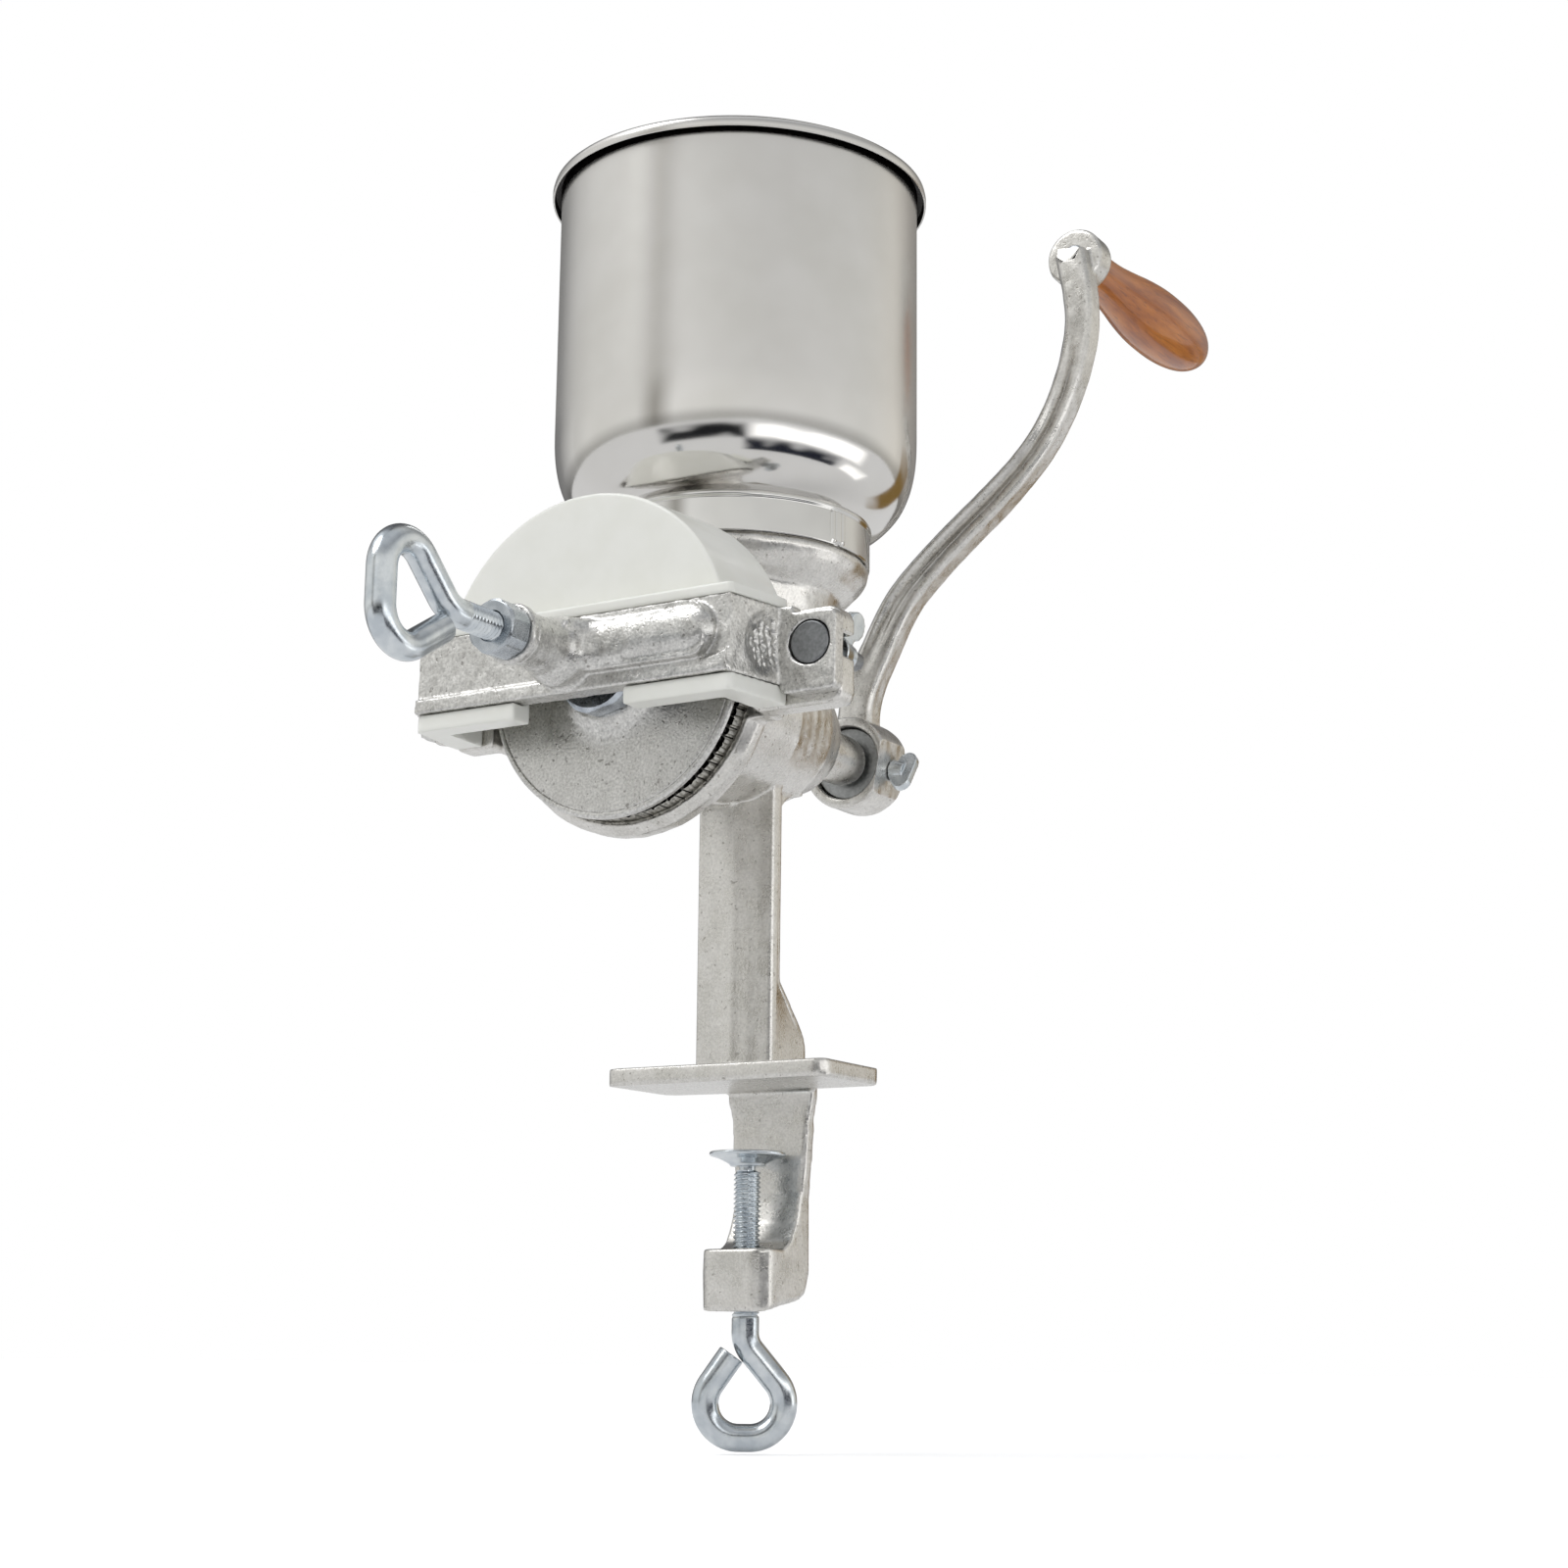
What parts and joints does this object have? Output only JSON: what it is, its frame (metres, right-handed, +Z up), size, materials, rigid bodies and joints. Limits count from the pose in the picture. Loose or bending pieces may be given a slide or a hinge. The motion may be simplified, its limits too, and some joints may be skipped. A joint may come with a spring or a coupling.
{
  "type": "hand grain mill",
  "caption": "Table-clamped hand grain mill with a steel hopper, grinding discs under a half-round guard, an adjusting screw on a yoke, and a swan-neck crank with a wooden grip.",
  "frame": {"origin": "underside of the table plate, under the hopper's axis", "axes": "+Z up along the hopper's axis, +Y along the shaft towards the crank, +X to the side the crank leans to in the picture"},
  "size_m": [0.1986, 0.4443, 0.4902],
  "materials": {
    "cast_tin": "bright tinned casting with a fine sandy grain",
    "stainless": "polished stainless sheet",
    "zinc": "bright zinc plate",
    "dark_steel": "blackened steel",
    "burr_iron": "bare hard iron",
    "steel": "plain steel",
    "wood": "orange-brown varnished hardwood",
    "white_plastic": "milky white moulded plastic",
    "washer": "dull steel"
  },
  "bodies": {
    "body": {"body_casting": "cast_tin", "fixed_plate": "burr_iron", "yoke": "cast_tin", "guard": "white_plastic", "yoke_bolt": "dark_steel"},
    "hopper": {"hopper_cup": "stainless", "hopper_collar": "stainless"},
    "feed_ball": {"thrust_ball": "steel"},
    "adjuster": {"adjusting_screw": "zinc"},
    "adjuster_nut": {"lock_nut": "zinc"},
    "rotor_carriage": {"thrust_washer": "washer"},
    "crank": {"drive_shaft": "steel", "feed_auger": "burr_iron", "disc_carrier": "cast_tin", "turning_plate": "burr_iron", "hub_nut": "zinc", "crank_arm": "cast_tin", "grip_spindle": "steel", "grip_washer": "dark_steel"},
    "handgrip": {"grip": "wood"},
    "crank_screw": {"thumb_screw": "zinc"},
    "table_pad": {"clamp_pad": "zinc"},
    "table_screw": {"clamp_screw": "zinc"},
    "side_nut": {"wing_nut": "zinc"}
  },
  "joints": [
    {"name": "hopper_lift", "type": "slide", "parent": "body", "child": "hopper", "axis": [0, 0, 1], "range_m": [0, 0.06]},
    {"name": "adjuster_feed", "type": "slide", "parent": "body", "child": "feed_ball", "axis": [0, 1, 0], "range_m": [-0.002, 0.0007]},
    {"name": "adjuster_turn", "type": "hinge", "parent": "feed_ball", "child": "adjuster", "pos_m": [0, -0.12, 0.138], "axis": [0, 1, 0], "range_deg": [-430, 150]},
    {"name": "lock_nut_turn", "type": "hinge", "parent": "body", "child": "adjuster_nut", "pos_m": [0, -0.1443, 0.138], "axis": [0, 1, 0], "range_deg": [-180, 180]},
    {"name": "rotor_float", "type": "slide", "parent": "body", "child": "rotor_carriage", "axis": [0, 1, 0], "range_m": [-0.002, 0.0007]},
    {"name": "crank_turn", "type": "hinge", "parent": "rotor_carriage", "child": "crank", "pos_m": [0, 0, 0.138], "axis": [0, 1, 0], "continuous": true},
    {"name": "grip_spin", "type": "hinge", "parent": "crank", "child": "handgrip", "pos_m": [0.096, 0.17, 0.344], "axis": [0, 1, 0], "continuous": true},
    {"name": "crank_screw_turn", "type": "hinge", "parent": "crank", "child": "crank_screw", "pos_m": [0, 0.09772, 0.138], "axis": [0.9848, 0, -0.1736], "range_deg": [-90, 270]},
    {"name": "pad_travel", "type": "slide", "parent": "body", "child": "table_pad", "axis": [0, 0, 1], "range_m": [-0.0145, 0.006]},
    {"name": "clamp_turn", "type": "hinge", "parent": "table_pad", "child": "table_screw", "pos_m": [0, 0.0156, -0.06], "axis": [0, 0, 1], "range_deg": [-3000, 1250]},
    {"name": "side_nut_turn", "type": "hinge", "parent": "body", "child": "side_nut", "pos_m": [0.0825, -0.06, 0.138], "axis": [0, 1, 0], "range_deg": [-360, 360]}
  ],
  "couplings": [
    {"joint": "adjuster_turn", "follows": "adjuster_feed", "rad_per_m": 3590.4},
    {"joint": "rotor_float", "follows": "adjuster_feed", "ratio": 1},
    {"joint": "clamp_turn", "follows": "pad_travel", "rad_per_m": 3590.4}
  ]
}
